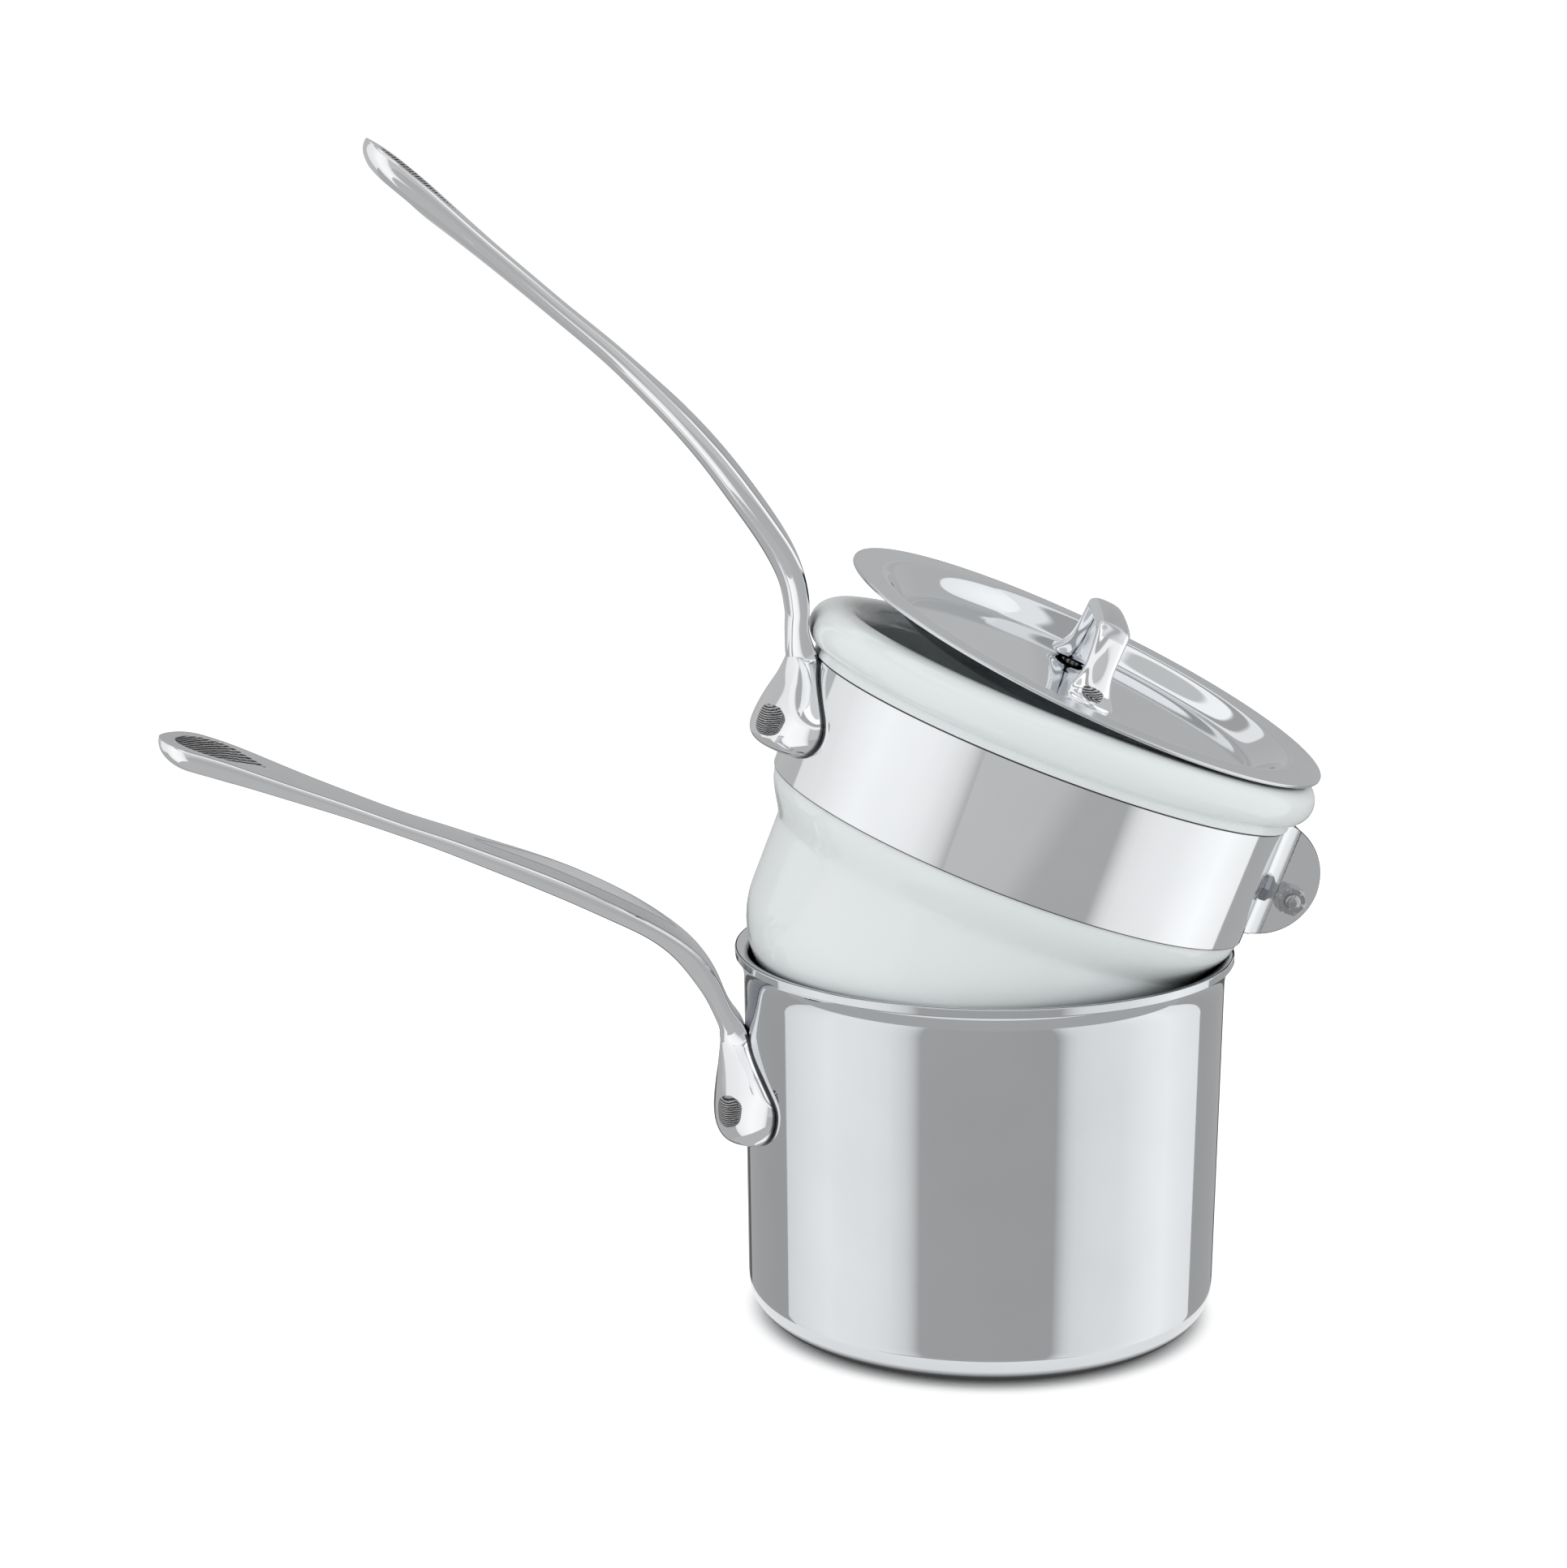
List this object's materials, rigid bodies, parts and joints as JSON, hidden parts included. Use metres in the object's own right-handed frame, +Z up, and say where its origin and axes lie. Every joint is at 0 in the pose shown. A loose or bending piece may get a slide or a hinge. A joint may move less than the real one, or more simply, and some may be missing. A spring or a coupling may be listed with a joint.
{
  "type": "double boiler",
  "caption": "Double boiler: steel saucepan with a long handle, porcelain insert clamped in a steel band with its own long handle, and a dished steel lid, shown cocked open.",
  "frame": {"origin": "centre of the saucepan's flat base, on the surface it stands on", "axes": "+Z up along the saucepan's axis; both long handles point along -X; +Y is the side away from the picture's viewer"},
  "size_m": [0.3428, 0.1581, 0.3496],
  "materials": {
    "polished_steel": "mirror polished stainless steel",
    "cast_steel": "cast stainless steel, satin on the flat faces and polished on the rounded sides",
    "rivet_steel": "rough cut steel rivet ends",
    "bolt_steel": "bright plated steel",
    "porcelain": "gloss white glaze"
  },
  "bodies": {
    "saucepan_body": {"saucepan": "polished_steel", "saucepan_handle": "cast_steel", "saucepan_rivet_left": "rivet_steel", "saucepan_rivet_right": "rivet_steel"},
    "insert_body": {"porcelain_insert": "porcelain", "clamp_band": "polished_steel", "clamp_bolt": "bolt_steel", "clamp_nut": "bolt_steel", "insert_handle": "cast_steel", "insert_rivet_left": "rivet_steel", "insert_rivet_right": "rivet_steel"},
    "lid_body": {"lid": "polished_steel", "lid_handle": "cast_steel", "lid_rivet_front": "rivet_steel", "lid_rivet_back": "rivet_steel"}
  },
  "joints": [
    {"name": "insert_lift", "type": "slide", "parent": "saucepan_body", "child": "insert_body", "axis": [0, 0, 1], "range_m": [0, 0.06]},
    {"name": "lid_lift", "type": "slide", "parent": "insert_body", "child": "lid_body", "axis": [0, 0, 1], "range_m": [0, 0.07]}
  ]
}
